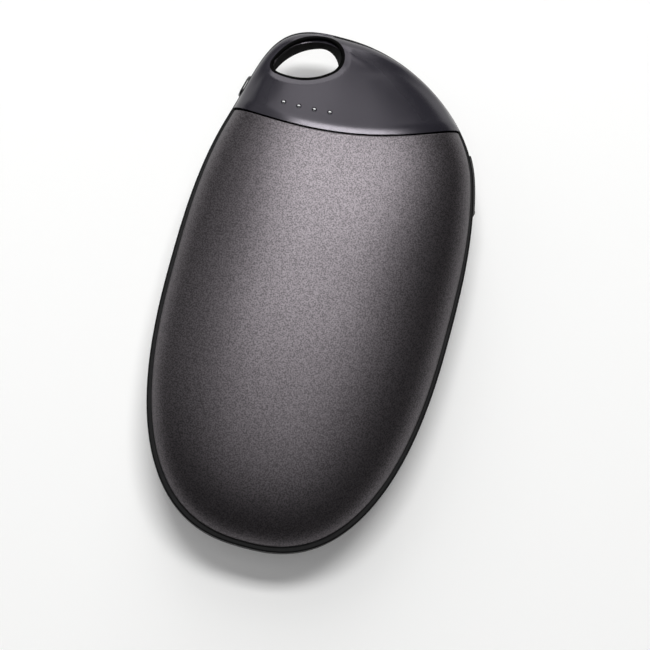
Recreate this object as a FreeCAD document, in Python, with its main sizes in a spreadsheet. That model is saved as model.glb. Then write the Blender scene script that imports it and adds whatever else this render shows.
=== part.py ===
import FreeCAD, Part
import Sketcher
import math
import os

# Rechargeable pocket hand warmer: a pebble of two aluminium shells on a plastic band, with a
# plastic head that holds the lanyard eye. It lies on its back: +Z leaves the front face, +Y
# points at the lanyard eye, and Z = 0 is the small flat that it rests on.

Vector = FreeCAD.Vector
Z_AXIS = Vector(0, 0, 1)
Y_AXIS = Vector(0, 1, 0)
X_AXIS = Vector(1, 0, 0)
FRONT = 1
REAR = -1

# Driving dimensions in millimetres, apart from the powers, angles and counts named as such.
DIMENSIONS = [
    # Cells, and the room that the case leaves round them.
    ("cell_diameter", 18.4),
    ("cell_length", 65.2),
    ("cell_gap", 0.4),
    ("side_room", 12.4),
    ("foot_room", 19.2),
    ("head_length", 27.6),
    ("crown_room", 3.1),
    # Form of the pebble: powers of the plan outline, the crown line and the cross sections.
    ("outline_power", 2.5),
    ("crown_power", 2.5),
    ("section_power", 2.3),
    ("head_section_power", 3.0),
    ("head_lean", 8.0),
    ("lean_start", 32.5),
    ("rest_flat_depth", 0.3),
    # Walls, band and gaps of the case.
    ("shell_wall", 1.0),
    ("cap_wall", 1.8),
    ("band_height", 5.6),
    ("band_lip", 0.45),
    ("band_wall", 4.0),
    ("band_edge_radius", 0.35),
    ("rabbet_inset", 3.0),
    ("rabbet_height", 1.2),
    ("cap_parting_gap", 0.1),
    ("gasket_height", 0.3),
    ("gasket_recess", 0.15),
    ("shell_edge_radius", 0.35),
    ("cap_edge_radius", 0.5),
    # Seam between head and shell: an arc in plan.
    ("seam_radius", 67.0),
    ("seam_from_cells", 4.5),
    ("seam_side_shift", 4.5),
    ("seam_gap", 0.3),
    ("tongue_reach", 2.0),
    ("tongue_wall", 1.0),
    ("tongue_clearance", 0.15),
    # Lanyard eye: an egg-shaped opening, two round ends joined by wider arcs.
    ("eye_end_bar", 1.85),
    ("eye_side_bar", 3.0),
    ("eye_wide_radius", 4.2),
    ("eye_narrow_radius", 2.0),
    ("eye_side_radius", 12.0),
    ("eye_shift", 3.2),
    ("eye_drop", 3.9),
    ("eye_wall", 1.6),
    ("eye_edge_radius", 0.5),
    # Heater films and the sensors on them.
    ("film_thickness", 0.2),
    ("film_gap", 0.15),
    ("film_margin", 9.0),
    ("film_end_gap", 1.0),
    ("sensor_radius", 0.9),
    ("sensor_length", 2.4),
    ("sensor_gap", 0.15),
    ("sensor_lead_radius", 0.4),
    # Power button and its switch.
    ("button_from_end", 15.6),
    ("button_length", 5.2),
    ("button_height", 3.4),
    ("button_proud", 0.65),
    ("button_clearance", 0.15),
    ("button_edge_radius", 0.4),
    ("button_wall", 1.9),
    ("button_flange_rim", 0.8),
    ("button_flange_end", 0.3),
    ("button_flange_thickness", 0.8),
    ("button_stem_radius", 0.9),
    ("button_stem_length", 0.8),
    ("button_travel", 0.4),
    ("switch_gap", 0.1),
    ("plunger_radius", 0.7),
    ("plunger_length", 1.2),
    ("plunger_reach", 0.9),
    ("plunger_clearance", 0.05),
    ("switch_depth", 3.2),
    ("switch_width", 3.0),
    # Charging socket and its rubber cover.
    ("port_from_end", 24.0),
    ("cover_length", 13.5),
    ("cover_height", 4.3),
    ("cover_depth", 1.5),
    ("cover_proud", 0.35),
    ("cover_gap", 0.15),
    ("cover_corner_radius", 0.9),
    ("hinge_pin_radius", 0.45),
    ("hinge_pin_grip", 0.25),
    ("hinge_knuckle_radius", 0.95),
    ("hinge_setback", 0.15),
    ("hinge_running_clearance", 0.04),
    ("hinge_pin_clearance", 0.02),
    ("socket_shift", 1.2),
    ("socket_width", 8.94),
    ("socket_height", 3.16),
    ("socket_depth", 7.35),
    ("socket_wall", 0.3),
    ("socket_setback", 0.6),
    ("socket_clearance", 0.12),
    ("plug_clearance", 0.25),
    ("plug_depth", 0.8),
    ("tongue_width", 6.69),
    ("tongue_thickness", 0.7),
    ("tongue_setback", 1.3),
    ("socket_back_depth", 1.6),
    ("contact_count", 12),
    ("contact_pitch", 0.5),
    ("contact_width", 0.25),
    ("contact_thickness", 0.06),
    # Circuit board and what stands on it.
    ("board_thickness", 1.2),
    ("board_gap", 0.3),
    ("board_from_cells", 1.6),
    ("shelf_thickness", 1.35),
    ("shelf_gap", 0.05),
    ("shelf_from_seam", 0.8),
    ("shelf_inset", 3.4),
    ("chip_height", 0.9),
    ("chip_side", 3.6),
    ("chip_step", 2.4),
    ("inductor_shift", 0.9),
    ("inductor_side", 6.0),
    ("inductor_height", 3.0),
    ("inductor_corner_radius", 0.8),
    ("capacitor_count", 6),
    ("capacitor_pitch", 2.2),
    ("capacitor_length", 1.6),
    ("capacitor_width", 0.8),
    ("lamp_count", 4),
    ("lamp_pitch", 3.37),
    ("lamp_from_seam", 4.2),
    ("lamp_row_shift", 1.2),
    ("lamp_height", 0.7),
    ("lamp_gap", 0.15),
    ("light_pin_radius", 0.6),
    ("light_pin_clearance", 0.05),
    ("light_bar_lift", 4.0),
    ("light_bar_height", 1.2),
    ("light_bar_width", 2.2),
    # Case screws, up through the rear cap, shelf and board into the front cap's posts.
    ("post_radius", 2.1),
    ("screw_radius", 0.8),
    ("screw_hole_clearance", 0.1),
    ("screw_thread_clearance", 0.02),
    ("screw_grip", 4.5),
    ("screw_head_radius", 1.5),
    ("screw_head_height", 1.0),
    ("screw_head_recess", 0.6),
    ("screw_recess_width", 0.5),
    ("left_screw_shift", 4.5),
    ("left_screw_from_end", 13.8),
    ("right_screw_inset", 6.4),
    ("right_screw_from_end", 12.6),
    # Cell sleeves, links and the cradle with its ears and screws.
    ("sleeve_thickness", 0.15),
    ("sleeve_clearance", 0.02),
    ("sleeve_lip", 2.0),
    ("cell_button_radius", 2.9),
    ("cell_button_height", 1.4),
    ("cell_rim_width", 0.9),
    ("cell_groove_place", 3.2),
    ("cell_groove_depth", 0.45),
    ("link_width", 6.0),
    ("link_thickness", 0.15),
    ("link_overhang", 4.0),
    ("cradle_gap", 0.15),
    ("cradle_floor", 1.2),
    ("cradle_side", 1.0),
    ("cradle_end_gap", 2.5),
    ("cradle_film_gap", 0.8),
    ("ear_offset", 18.0),
    ("ear_width", 6.0),
    ("ear_thickness", 1.3),
    ("ear_reach", 2.6),
    ("ear_gap", 0.1),
    ("lug_thickness", 1.6),
    # Leads inside the case.
    ("lead_radius", 0.6),
    ("lead_row", 4.2),
    ("lead_height", 8.6),
    ("positive_lead_x", 3.4),
    ("heater_lead_radius", 0.45),
    ("heater_lead_pitch", 2.4),
    ("heater_lead_x", 4.2),
    ("heater_lead_fall", 3.4),
    ("sensor_from_cells", 20.0),
    ("front_sensor_x", 7.5),
    ("rear_sensor_x", -21.0),
    ("sensor_lead_shift", 1.0),
    ("sensor_lead_fall", 3.6),
]

document = FreeCAD.newDocument("hand_warmer")
sheet = document.addObject("Spreadsheet::Sheet", "Sizes")
for row, (alias, value) in enumerate(DIMENSIONS, start=1):
    sheet.set("A%d" % row, alias)
    sheet.set("B%d" % row, str(value))
    sheet.setAlias("B%d" % row, alias)
document.recompute()
size = {alias: float(sheet.get(alias)) for alias, value in DIMENSIONS}

# Overall half sizes, worked out from the cells and the room round them.
half_width = size["cell_diameter"] + size["cell_gap"] / 2 + size["side_room"]
half_length = (size["foot_room"] + size["cell_length"] + size["head_length"]) / 2
half_thickness = (size["cell_diameter"] / 2 + size["crown_room"] + size["film_thickness"]
                  + size["film_gap"] + size["shell_wall"])
middle = half_thickness - size["rest_flat_depth"]
band_half = size["band_height"] / 2
cell_foot = size["foot_room"] - half_length
cell_top = cell_foot + size["cell_length"]
tip_x = -size["head_lean"]
far = 2 * (half_length + half_width)

# Sampling of the free-form surfaces and outlines.
FORM_ROWS = 33
FORM_COLUMNS = 25
FORM_LAST_ROW = math.radians(88.6)
OUTLINE_POINTS = 96


def signed_power(value, power):
    return math.copysign(abs(value) ** power, value)


def centre_line(share):
    """X of the middle of the plan at this share of the half length: the head leans left."""
    start = size["lean_start"] / half_length
    lean = max(0.0, (share - start) / (1 - start))
    return -size["head_lean"] * lean ** 2


def edge_x(y, side, inset=0.0):
    """X of the plan outline at this Y, on the right (side 1) or the left (side -1)."""
    share = y / (half_length - inset)
    power = size["outline_power"]
    half = (half_width - inset) * (1 - abs(share) ** power) ** (1 / power)
    return centre_line(share) + side * half


def edge_frame(y, side):
    """Placement on the outline: local X points out of the edge, local Z is up."""
    step = 0.05
    rise = edge_x(y + step, side) - edge_x(y - step, side)
    outward = math.degrees(math.atan2(-rise * side, 2 * step))
    angle = outward if side > 0 else 180 - outward
    return FreeCAD.Placement(Vector(edge_x(y, side), y, middle), FreeCAD.Rotation(Z_AXIS, angle))


def form_solid(plan_inset, crown_inset, face):
    """Half of the pebble, in front of or behind its middle plane, as a closed solid."""
    length = half_length - plan_inset
    width = half_width - plan_inset
    height = half_thickness - crown_inset
    crown = size["crown_power"]
    grid = []
    for index in range(FORM_ROWS):
        angle = FORM_LAST_ROW * (2 * index / (FORM_ROWS - 1) - 1)
        share = signed_power(math.sin(angle), 2 / size["outline_power"])
        half = width * math.cos(angle) ** (2 / size["outline_power"])
        rise = height * (1 - abs(share) ** crown) ** (1 / crown)
        headward = max(0.0, share)
        blend = headward * headward * (3 - 2 * headward)
        power = size["section_power"]
        power += blend * (size["head_section_power"] - size["section_power"])
        line = []
        for column in range(FORM_COLUMNS):
            turn = math.pi * column / (FORM_COLUMNS - 1)
            x = centre_line(share) + half * signed_power(math.cos(turn), 2 / power)
            on_rim = column in (0, FORM_COLUMNS - 1)
            z = 0.0 if on_rim else rise * math.sin(turn) ** (2 / power)
            line.append(Vector(x, length * share, middle + face * z))
        grid.append(line)
    surface = Part.BSplineSurface()
    surface.interpolate(grid)
    dome = surface.toShape()
    ends = [edge for edge in dome.Edges if abs(edge.Vertexes[0].Y - edge.Vertexes[-1].Y) < 1e-6]
    rims = [edge for edge in dome.Edges if abs(edge.Vertexes[0].Y - edge.Vertexes[-1].Y) > 1e-6]
    chords = [Part.makeLine(edge.Vertexes[0].Point, edge.Vertexes[-1].Point) for edge in ends]
    faces = [dome] + [Part.Face(Part.Wire([end, chord])) for end, chord in zip(ends, chords)]
    faces.append(Part.Face(Part.Wire(Part.__sortEdges__(rims + chords))))
    solid = Part.Solid(Part.Shell(faces))
    if solid.Volume < 0:
        solid.reverse()
    return solid


def outline_wire(inset, z):
    """Closed plan outline, drawn in by an inset."""
    points = []
    for index in range(OUTLINE_POINTS):
        angle = 2 * math.pi * index / OUTLINE_POINTS
        share = signed_power(math.sin(angle), 2 / size["outline_power"])
        x = signed_power(math.cos(angle), 2 / size["outline_power"])
        points.append(Vector(centre_line(share) + (half_width - inset) * x,
                             (half_length - inset) * share, z))
    curve = Part.BSplineCurve()
    curve.interpolate(points, PeriodicFlag=True)
    return Part.Wire(curve.toShape())


def eye_centres():
    """Middles of the wide and the narrow round end of the lanyard eye."""
    wide_y = half_length - size["eye_end_bar"] - size["eye_wide_radius"]
    narrow_y = wide_y - size["eye_drop"]
    narrow_x = edge_x(narrow_y, -1) + size["eye_side_bar"] + size["eye_narrow_radius"]
    return Vector(tip_x - size["eye_shift"], wide_y, 0), Vector(narrow_x, narrow_y, 0)


def eye_wire(offset, z):
    """Outline of the eye: two round ends and the two wider arcs that touch both."""
    wide, narrow = eye_centres()
    wide_radius = size["eye_wide_radius"]
    narrow_radius = size["eye_narrow_radius"]
    side_radius = size["eye_side_radius"]
    away = narrow - wide
    forward = Vector(away).normalize()
    from_wide = side_radius - wide_radius
    from_narrow = side_radius - narrow_radius
    along = (from_wide ** 2 - from_narrow ** 2 + away.Length ** 2) / (2 * away.Length)
    across = math.sqrt(from_wide ** 2 - along ** 2)
    lift = Vector(0, 0, z)

    def reach(centre, way, radius):
        return centre + lift + Vector(way).normalize() * (radius + offset)

    sides = []
    for side in (1, -1):
        sideways = Vector(-forward.y, forward.x, 0) * side
        pivot = wide + forward * along - sideways * across
        to_wide = (wide - pivot).normalize()
        to_narrow = (narrow - pivot).normalize()
        sides.append((reach(wide, to_wide, wide_radius),
                      reach(pivot, to_wide + to_narrow, side_radius),
                      reach(narrow, to_narrow, narrow_radius)))
    (left_wide, left_middle, left_narrow), (right_wide, right_middle, right_narrow) = sides
    wide_back = reach(wide, forward * -1, wide_radius)
    narrow_back = reach(narrow, forward, narrow_radius)
    return Part.Wire([
        Part.Arc(left_wide, wide_back, right_wide).toShape(),
        Part.Arc(right_wide, right_middle, right_narrow).toShape(),
        Part.Arc(right_narrow, narrow_back, left_narrow).toShape(),
        Part.Arc(left_narrow, left_middle, left_wide).toShape(),
    ])


def raised(wire, height):
    return Part.Face(wire).extrude(Vector(0, 0, height))


def feature(name, shape):
    item = document.addObject("Part::Feature", name)
    item.Shape = shape
    return item


def bind(item, **expressions):
    for name, text in expressions.items():
        item.setExpression(name.replace("__", "."), text)
    return item


def block(name, length, width, height, place):
    item = document.addObject("Part::Box", name)
    item.Placement = place
    return bind(item, Length=length, Width=width, Height=height)


def rod(name, radius, height, place):
    item = document.addObject("Part::Cylinder", name)
    item.Placement = place
    return bind(item, Radius=radius, Height=height)


def at(x, y, z):
    return FreeCAD.Placement(Vector(x, y, z), FreeCAD.Rotation())


def along_x(frame, x, y, z):
    """Placement in a frame that turns a rod's axis to the frame's own X."""
    return frame * FreeCAD.Placement(Vector(x, y, z), FreeCAD.Rotation(Y_AXIS, 90))


def fuse(name, *items):
    item = document.addObject("Part::MultiFuse", name)
    item.Shapes = list(items)
    item.Refine = True
    return item


def cut(name, base, *tools):
    """Base without the tools, which are joined first when there are several."""
    item = document.addObject("Part::Cut", name)
    item.Base = base
    item.Tool = tools[0] if len(tools) == 1 else fuse(name + "_tools", *tools)
    return item


def common(name, base, tool):
    item = document.addObject("Part::Common", name)
    item.Base = base
    item.Tool = tool
    return item


def group(name, *items):
    item = document.addObject("Part::Compound", name)
    item.Links = list(items)
    return item


def rounded(name, base, radius, chosen):
    """Base with the edges that a test picks rounded off."""
    document.recompute()
    item = document.addObject("Part::Fillet", name)
    item.Base = base
    numbers = [n for n, edge in enumerate(base.Shape.Edges, start=1) if chosen(edge)]
    item.Edges = [(number, radius, radius) for number in numbers]
    return item


def pill(name, length, height, depth, frame, x=0.0, y=0.0, z=0.0):
    """Bar with round ends: depth along the frame's X, length along Y and height along Z."""
    bar_width = "(%s) - (%s)" % (length, height)
    long_side = float(sheet.evalExpression(length))
    short_side = float(sheet.evalExpression(height))
    reach = (long_side - short_side) / 2
    bar = block(name + "_bar", depth, bar_width, height,
                frame * at(x, y - reach, z - short_side / 2))
    ends = [rod("%s_end_%d" % (name, index), "(%s) / 2" % height, depth,
                along_x(frame, x, y + side * reach, z))
            for index, side in enumerate((-1, 1))]
    return fuse(name, bar, *ends)


def rounded_path(points, radius):
    """Straight runs joined by tangent arcs of one radius."""
    edges = []
    start = points[0]
    for before, corner, after in zip(points, points[1:], points[2:]):
        inward = (before - corner).normalize()
        onward = (after - corner).normalize()
        half_turn = (math.pi - inward.getAngle(onward)) / 2
        reach = radius * math.tan(half_turn)
        entry = corner + inward * reach
        leave = corner + onward * reach
        bisector = (inward + onward).normalize()
        centre_way = radius / math.cos(half_turn)
        crest = corner + bisector * (centre_way - radius)
        edges.append(Part.makeLine(start, entry))
        edges.append(Part.Arc(entry, crest, leave).toShape())
        start = leave
    edges.append(Part.makeLine(start, points[-1]))
    return Part.Wire(edges)


def lead(points, wire_radius, bend_radius):
    """Round lead along a path, with its volume checked against its section and length."""
    path = rounded_path(points, bend_radius)
    first = (points[1] - points[0]).normalize()
    section = Part.Wire(Part.makeCircle(wire_radius, points[0], first))
    tube = path.makePipeShell([section], True, False)
    expected = math.pi * wire_radius ** 2 * path.Length
    if abs(tube.Volume - expected) > 0.01 * expected:
        raise RuntimeError("a lead is not a clean tube")
    return tube


parts = []


def keep(item, label):
    item.Label = label
    parts.append(item)
    return item


# Forms that the case pieces are cut from
def form(name, plan_inset, crown_inset, face):
    return feature(name, form_solid(plan_inset, crown_inset, face))


def face_name(face):
    return "front" if face == FRONT else "rear"


def beyond(name, face, lift):
    """Everything on one face's side of a plane at this height from the middle plane."""
    base = middle + lift if face == FRONT else middle - lift - far
    return block(name, "%r" % (2 * far), "%r" % (2 * far), "%r" % far, at(-far, -far, base))


seam_low = cell_top + size["seam_from_cells"]
seam_centre = Vector(tip_x - size["seam_side_shift"], seam_low + size["seam_radius"], 0)


def seam_zone(name, extra):
    """Upright cylinder over the head, grown by the expression given."""
    return rod(name, "Sizes.seam_radius + (%s)" % extra, "%r" % (2 * far),
               at(seam_centre.x, seam_centre.y, -far))


def on_seam(edge, radius):
    """True for an edge that runs along an upright cylinder about the seam's centre."""
    spots = [edge.valueAt(edge.FirstParameter + share * (edge.LastParameter - edge.FirstParameter))
             for share in (0.1, 0.5, 0.9)]
    return all(abs(math.hypot(spot.x - seam_centre.x, spot.y - seam_centre.y) - radius) < 1e-3
               for spot in spots)


def at_height(edge, z):
    return abs(edge.BoundBox.ZMin - z) < 1e-3 and abs(edge.BoundBox.ZMax - z) < 1e-3


def outside_inset(edge, inset):
    """True for an edge whose middle lies nearer to the plan outline than the inset."""
    spot = edge.valueAt((edge.FirstParameter + edge.LastParameter) / 2)
    side = 1 if spot.x > centre_line(spot.y / half_length) else -1
    if abs(spot.y) > half_length - inset:
        return True
    return side * (spot.x - edge_x(spot.y, side, inset)) > 0


shell_inset = size["band_lip"] + size["shell_wall"]
shell_base = band_half + size["gasket_height"]


def make_shell(face):
    side = face_name(face)
    outer = form(side + "_shell_form", size["band_lip"], 0.0, face)
    inner = form(side + "_shell_room", shell_inset, size["shell_wall"], face)
    dome = common(side + "_shell_dome", outer, beyond(side + "_shell_side", face, shell_base))
    head = seam_zone(side + "_shell_seam", "Sizes.seam_gap / 2")
    tools = [inner, head]
    if face == REAR:
        tools.append(block("rest_plane", "%r" % (2 * far), "%r" % (2 * far), "%r" % far,
                           at(-far, -far, -far)))
    wall = cut(side + "_shell_wall", dome, *tools)
    base_z = middle + face * shell_base
    seam_edge = size["seam_radius"] + size["seam_gap"] / 2
    outer_rim = size["band_lip"] + size["shell_wall"] / 2

    def chosen(edge):
        if at_height(edge, base_z):
            return edge.Length > size["cell_length"] and outside_inset(edge, outer_rim)
        return on_seam(edge, seam_edge) and edge.BoundBox.ZLength > 1 and crest(edge) > crest_limit

    def crest(edge):
        return face * ((edge.BoundBox.ZMax if face == FRONT else edge.BoundBox.ZMin) - middle)

    document.recompute()
    seam_crests = [crest(edge) for edge in wall.Shape.Edges if on_seam(edge, seam_edge)]
    crest_limit = max(seam_crests) - size["shell_wall"] / 2
    return keep(rounded(side + "_shell_body", wall, size["shell_edge_radius"], chosen),
                side + "_shell")


def make_gasket(face):
    """Rubber strip under the shell's edge, set back a little from the edge of the band."""
    side = face_name(face)
    outer = form(side + "_gasket_form", size["band_lip"] + size["gasket_recess"], 0.0, face)
    inner = form(side + "_gasket_room", shell_inset, size["shell_wall"], face)
    base = middle + band_half if face == FRONT else middle - band_half - size["gasket_height"]
    slab = block(side + "_gasket_slab", "%r" % (2 * far), "%r" % (2 * far),
                 "Sizes.gasket_height", at(-far, -far, base))
    ring = common(side + "_gasket_ring", outer, slab)
    head = seam_zone(side + "_gasket_seam", "Sizes.seam_gap / 2")
    keep(cut(side + "_gasket_body", ring, inner, head), side + "_gasket")


# Heights that the head's pieces share
board_top = middle - size["socket_height"] / 2
board_bottom = board_top - size["board_thickness"]
shelf_top = board_bottom - size["shelf_gap"]
shelf_bottom = shelf_top - size["shelf_thickness"]
cap_base = band_half + size["cap_parting_gap"]
post_end = board_top + size["shelf_gap"]


def form_height(x, y, plan_inset, crown_inset):
    """Height of a form's surface over the middle plane."""
    share = y / (half_length - plan_inset)
    outline = size["outline_power"]
    crown = size["crown_power"]
    half = (half_width - plan_inset) * (1 - abs(share) ** outline) ** (1 / outline)
    rise = (half_thickness - crown_inset) * (1 - abs(share) ** crown) ** (1 / crown)
    headward = max(0.0, share)
    blend = headward * headward * (3 - 2 * headward)
    power = size["section_power"]
    power += blend * (size["head_section_power"] - size["section_power"])
    across = abs(x - centre_line(share)) / half
    return rise * (1 - across ** power) ** (1 / power)


def case_screw_spots():
    """Plan places of the two case screws: beside the eye, and at the right shoulder."""
    left = Vector(tip_x + size["left_screw_shift"], half_length - size["left_screw_from_end"], 0)
    right_y = half_length - size["right_screw_from_end"]
    right = Vector(edge_x(right_y, 1, size["right_screw_inset"]), right_y, 0)
    return [left, right]


def lamp_spots():
    """Plan places of the indicator lamps, on an arc that follows the seam."""
    radius = size["seam_radius"] - size["lamp_from_seam"]
    count = int(size["lamp_count"])
    spots = []
    for index in range(count):
        shift = size["lamp_row_shift"] + (index - (count - 1) / 2) * size["lamp_pitch"]
        angle = shift / radius - math.pi / 2
        spots.append(seam_centre + Vector(radius * math.cos(angle), radius * math.sin(angle), 0))
    return spots


def screw_seat(spot):
    """Height of the face that a case screw's head bears on, sunk into the rear cap."""
    surface = middle - form_height(spot.x, spot.y, 0.0, 0.0)
    return surface + size["screw_head_recess"] + size["screw_head_height"]


def make_cap(face):
    """One half of the head: a domed wall, the eye's tube, screw posts and the seam's tongue."""
    side = face_name(face)
    outer = form(side + "_cap_form", 0.0, 0.0, face)
    room = form(side + "_cap_room", size["cap_wall"], size["cap_wall"], face)
    head = common(side + "_cap_head", outer, seam_zone(side + "_cap_seam", "-Sizes.seam_gap / 2"))
    lump = common(side + "_cap_lump", head, beyond(side + "_cap_side", face, cap_base))
    eye = feature(side + "_cap_eye", raised(eye_wire(0.0, -far), 2 * far))
    holed = cut(side + "_cap_holed", lump, eye)
    base_z = middle + face * cap_base
    seam_edge = size["seam_radius"] - size["seam_gap"] / 2
    smoothed = round_cap_edges(side, holed, base_z, seam_edge)
    tube = feature(side + "_cap_tube", raised(eye_wire(size["eye_wall"], -far), 2 * far))
    hollow = cut(side + "_cap_hollow", room, tube)
    shell = cut(side + "_cap_shell", smoothed, hollow)
    tongue = make_seam_tongue(side, face)
    posts = [make_post(side, index, face, spot) for index, spot in enumerate(case_screw_spots())]
    solid = fuse(side + "_cap_solid", shell, tongue, *posts)
    holes = []
    for index, spot in enumerate(case_screw_spots()):
        holes += screw_holes(side, index, face, spot)
    if face == FRONT:
        for index, spot in enumerate(lamp_spots()):
            holes.append(rod("light_hole_%d" % index,
                             "Sizes.light_pin_radius + Sizes.light_pin_clearance", "%r" % far,
                             at(spot.x, spot.y, middle)))
    keep(cut(side + "_cap_body", solid, *holes), side + "_cap")


def round_cap_edges(side, holed, base_z, seam_edge):
    """Soft edges along the eye and along the seam."""
    def around_eye(edge):
        upright = edge.BoundBox.XLength + edge.BoundBox.YLength < 1e-3
        return not (upright or at_height(edge, base_z) or on_seam(edge, seam_edge))

    def along_seam(edge):
        return on_seam(edge, seam_edge) and not at_height(edge, base_z) and edge.Length > 1

    eyed = rounded(side + "_cap_eye_edge", holed, size["eye_edge_radius"], around_eye)
    return rounded(side + "_cap_seam_edge", eyed, size["cap_edge_radius"], along_seam)


def make_seam_tongue(side, face):
    """Lip of the head that reaches under the shell and closes the seam from inside."""
    plan = shell_inset + size["tongue_clearance"]
    crown = size["shell_wall"] + size["tongue_clearance"]
    outer = form(side + "_tongue_form", plan, crown, face)
    inner = form(side + "_tongue_room", plan + size["tongue_wall"], crown + size["tongue_wall"],
                 face)
    layer = cut(side + "_tongue_layer", outer, inner)
    arc = cut(side + "_tongue_arc", seam_zone(side + "_tongue_far", "Sizes.tongue_reach"),
              seam_zone(side + "_tongue_near", "-Sizes.tongue_reach"))
    strip = common(side + "_tongue_strip", layer, arc)
    clear = middle - shelf_bottom + size["tongue_clearance"]
    return common(side + "_tongue", strip, beyond(side + "_tongue_side", face, clear))


def make_post(side, index, face, spot):
    name = "%s_post_%d" % (side, index)
    bury = size["cap_wall"] / 2
    trim = form(name + "_trim", bury, bury, face)
    if face == FRONT:
        above = rod(name + "_upper", "Sizes.post_radius", "%r" % far, at(spot.x, spot.y, middle))
        below = rod(name + "_lower", "Sizes.post_radius", "%r" % (middle + band_half - post_end),
                    at(spot.x, spot.y, post_end))
        return fuse(name, common(name + "_root", above, trim), below)
    end = shelf_bottom - size["shelf_gap"]
    whole = rod(name + "_whole", "Sizes.post_radius", "%r" % far, at(spot.x, spot.y, end - far))
    return common(name, whole, trim)


def screw_holes(side, index, face, spot):
    name = "%s_screw_hole_%d" % (side, index)
    if face == FRONT:
        return [rod(name, "Sizes.screw_radius + Sizes.screw_thread_clearance",
                    "Sizes.screw_grip + Sizes.screw_hole_clearance + %r" % size["shelf_gap"],
                    at(spot.x, spot.y, post_end - size["shelf_gap"]))]
    seat = screw_seat(spot)
    bore = rod(name, "Sizes.screw_radius + Sizes.screw_hole_clearance", "%r" % far,
               at(spot.x, spot.y, middle - far))
    sink = rod(name + "_sink", "Sizes.screw_head_radius + Sizes.screw_hole_clearance", "%r" % far,
               at(spot.x, spot.y, seat - far))
    return [bore, sink]


def make_screw(name, seat, length, spot):
    """Pan-head screw pointing up, with a cross recess in its head."""
    head = rod(name + "_head", "Sizes.screw_head_radius", "Sizes.screw_head_height",
               at(spot.x, spot.y, seat - size["screw_head_height"]))
    shank = rod(name + "_shank", "Sizes.screw_radius", "%r" % length, at(spot.x, spot.y, seat))
    body = fuse(name + "_body", head, shank)
    reach = size["screw_head_radius"]
    half = size["screw_recess_width"] / 2
    low = seat - size["screw_head_height"]
    slots = [block(name + "_slot_x", "Sizes.screw_head_radius", "Sizes.screw_recess_width",
                   "Sizes.screw_recess_width", at(spot.x - reach / 2, spot.y - half, low)),
             block(name + "_slot_y", "Sizes.screw_recess_width", "Sizes.screw_head_radius",
                   "Sizes.screw_recess_width", at(spot.x - half, spot.y - reach / 2, low))]
    return cut(name, body, *slots)


def make_case_screws():
    screws = []
    for index, spot in enumerate(case_screw_spots()):
        seat = screw_seat(spot)
        screws.append(make_screw("case_screw_%d" % index, seat,
                                 board_top + size["screw_grip"] - seat, spot))
    keep(group("case_screw_set", *screws), "case_screws")


# Places of the power button on the left edge and of the socket on the right flank
button_frame = edge_frame(half_length - size["button_from_end"], -1)
port_frame = edge_frame(half_length - size["port_from_end"], 1)
flange_face = -size["button_wall"] - size["switch_gap"]
stem_end = flange_face - size["button_flange_thickness"] - size["button_stem_length"]
plunger_face = stem_end - size["switch_gap"]
switch_face = plunger_face - size["plunger_reach"]
socket_mouth = -size["cover_depth"] - size["cover_gap"] - size["socket_setback"]
hinge_x = size["cover_proud"] - size["hinge_knuckle_radius"] - size["hinge_setback"]
hinge_y = size["hinge_knuckle_radius"] - size["cover_length"] / 2
hinge_swing = max(size["hinge_knuckle_radius"], size["cover_proud"] - hinge_x) + size["cover_gap"]


def ear_spots():
    """Plan places of the cradle's four ears, along the inside of the band."""
    cell_middle = (cell_foot + cell_top) / 2
    spots = []
    for end in (-1, 1):
        y = cell_middle + end * size["ear_offset"]
        for side in (-1, 1):
            spots.append(Vector(edge_x(y, side, size["band_wall"] + size["ear_reach"]), y, side))
    return spots


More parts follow.
